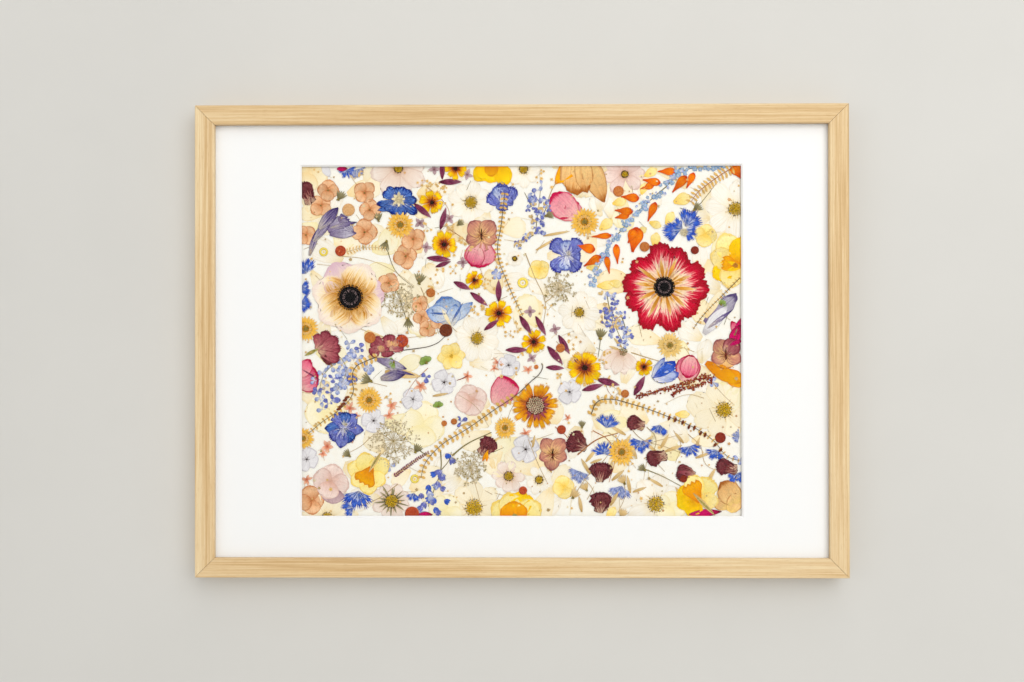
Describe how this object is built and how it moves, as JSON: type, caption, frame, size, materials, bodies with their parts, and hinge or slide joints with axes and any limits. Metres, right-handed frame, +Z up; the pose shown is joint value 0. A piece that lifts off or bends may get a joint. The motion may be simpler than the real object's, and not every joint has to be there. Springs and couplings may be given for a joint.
{
  "type": "pressed flower frame",
  "caption": "Wall picture of pressed flowers behind glass, with a white mat and a mitred oak frame.",
  "frame": {"origin": "middle of the top rail's back face, on the wall plane", "axes": "+X right along the top rail, +Y into the wall, +Z up; the picture faces -Y"},
  "size_m": [0.724, 0.03, 0.524],
  "materials": {
    "oak": "pale natural oak, clear matt",
    "glass": "clear polished",
    "mat": "white, matt",
    "board": "off-white paper face, matt",
    "fibreboard": "brown fibreboard, matt",
    "steel": "zinc plated",
    "petal_cream": "dried petals, leaves and stems, matt",
    "petal_blush": "dried petal, matt",
    "petal_red": "dried petal, matt",
    "petal_yellow": "dried petal, matt",
    "petal_orange": "dried petal, matt",
    "petal_peach": "dried petal, matt",
    "petal_blue": "dried petal, matt",
    "petal_pink": "dried petal, matt",
    "petal_brown": "dried petal, matt",
    "petal_burgundy": "dried petal, matt"
  },
  "bodies": {
    "root": {"rail_top": "oak", "rail_bottom": "oak", "rail_left": "oak", "rail_right": "oak", "glazing": "glass", "mat_board": "mat", "small_flowers_and_sprigs": "petal_cream", "flower_board": "board", "backing_board": "fibreboard", "steel_point_top_1": "steel", "steel_point_top_2": "steel", "steel_point_top_3": "steel", "steel_point_bottom_1": "steel", "steel_point_bottom_2": "steel", "steel_point_bottom_3": "steel", "steel_point_left_1": "steel", "steel_point_left_2": "steel", "steel_point_right_1": "steel", "steel_point_right_2": "steel", "hanger_left": "steel", "hanger_right": "steel", "rivet_left_1": "steel", "rivet_left_2": "steel", "rivet_right_1": "steel", "rivet_right_2": "steel", "anemone_blush": "petal_blush", "anemone_red": "petal_red", "blanket_flower": "petal_orange", "strawflower_left_top": "petal_orange", "strawflower_centre": "petal_orange", "strawflower_left_low": "petal_orange", "strawflower_right_low": "petal_orange", "coreopsis_1": "petal_yellow", "coreopsis_2": "petal_yellow", "coreopsis_3": "petal_yellow", "coreopsis_4": "petal_yellow", "coreopsis_5": "petal_yellow", "gentian_blue": "petal_blue", "larkspur_top": "petal_blue", "larkspur_centre": "petal_blue", "larkspur_left": "petal_blue", "harebell": "petal_blue", "crocus_blue": "petal_blue", "cornflower": "petal_blue", "tulip_peach": "petal_peach", "rose_petal_top": "petal_pink", "rose_petal_left": "petal_pink", "rose_petal_middle": "petal_pink", "rose_petal_right": "petal_pink", "pansy_top": "petal_brown", "pansy_bottom": "petal_brown", "pansy_right": "petal_brown", "daffodil_left": "petal_yellow", "daffodil_right": "petal_yellow", "poppy_yellow": "petal_yellow", "buttercup_right": "petal_yellow", "carnation_maroon": "petal_burgundy", "tulip_petal_1": "petal_burgundy", "tulip_petal_2": "petal_burgundy", "tulip_petal_3": "petal_burgundy"}
  },
  "joints": []
}
